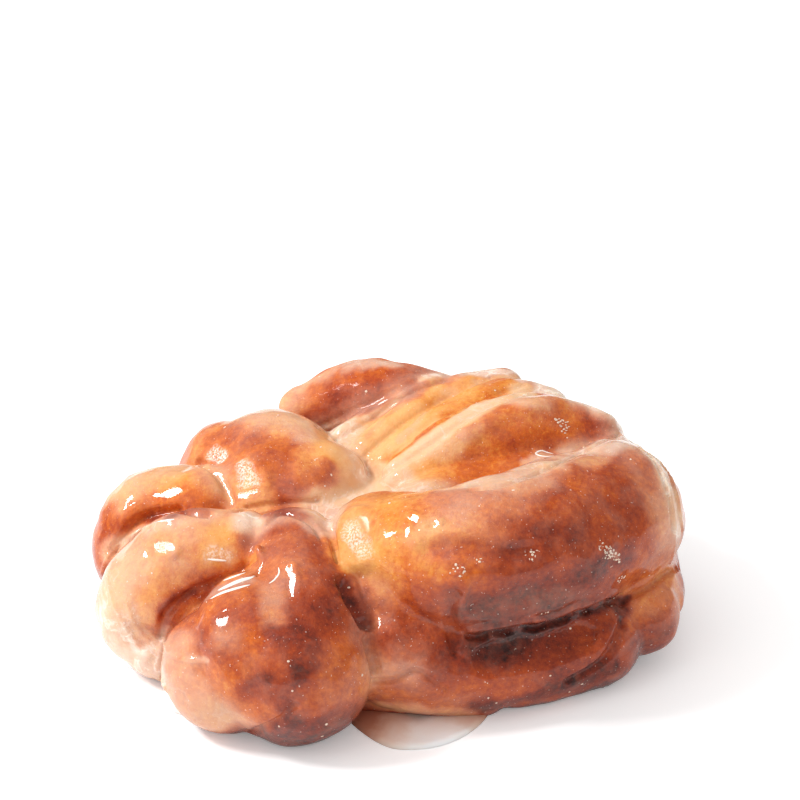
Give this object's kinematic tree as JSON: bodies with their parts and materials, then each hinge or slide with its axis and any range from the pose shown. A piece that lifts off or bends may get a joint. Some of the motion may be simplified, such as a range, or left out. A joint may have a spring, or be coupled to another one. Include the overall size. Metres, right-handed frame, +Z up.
{
  "type": "apple fritter",
  "caption": "Irregular fritter of knobs and folds of fried dough under a glaze, one closed solid that lies on a flat underside.",
  "frame": {"origin": "under the middle of the fritter's box, on the surface it lies on", "axes": "+X along the longest side, towards the large folded block; -Y towards the side with the glaze spill; +Z up"},
  "size_m": [0.1264, 0.1082, 0.046],
  "materials": {
    "fried_dough": "golden to red-brown fried dough under a thin, clear, glossy sugar glaze",
    "glaze": "thin, milky, glossy sugar glaze, clear where it is thinnest"
  },
  "bodies": {
    "root": {"fritter": "fried_dough"}
  },
  "joints": []
}
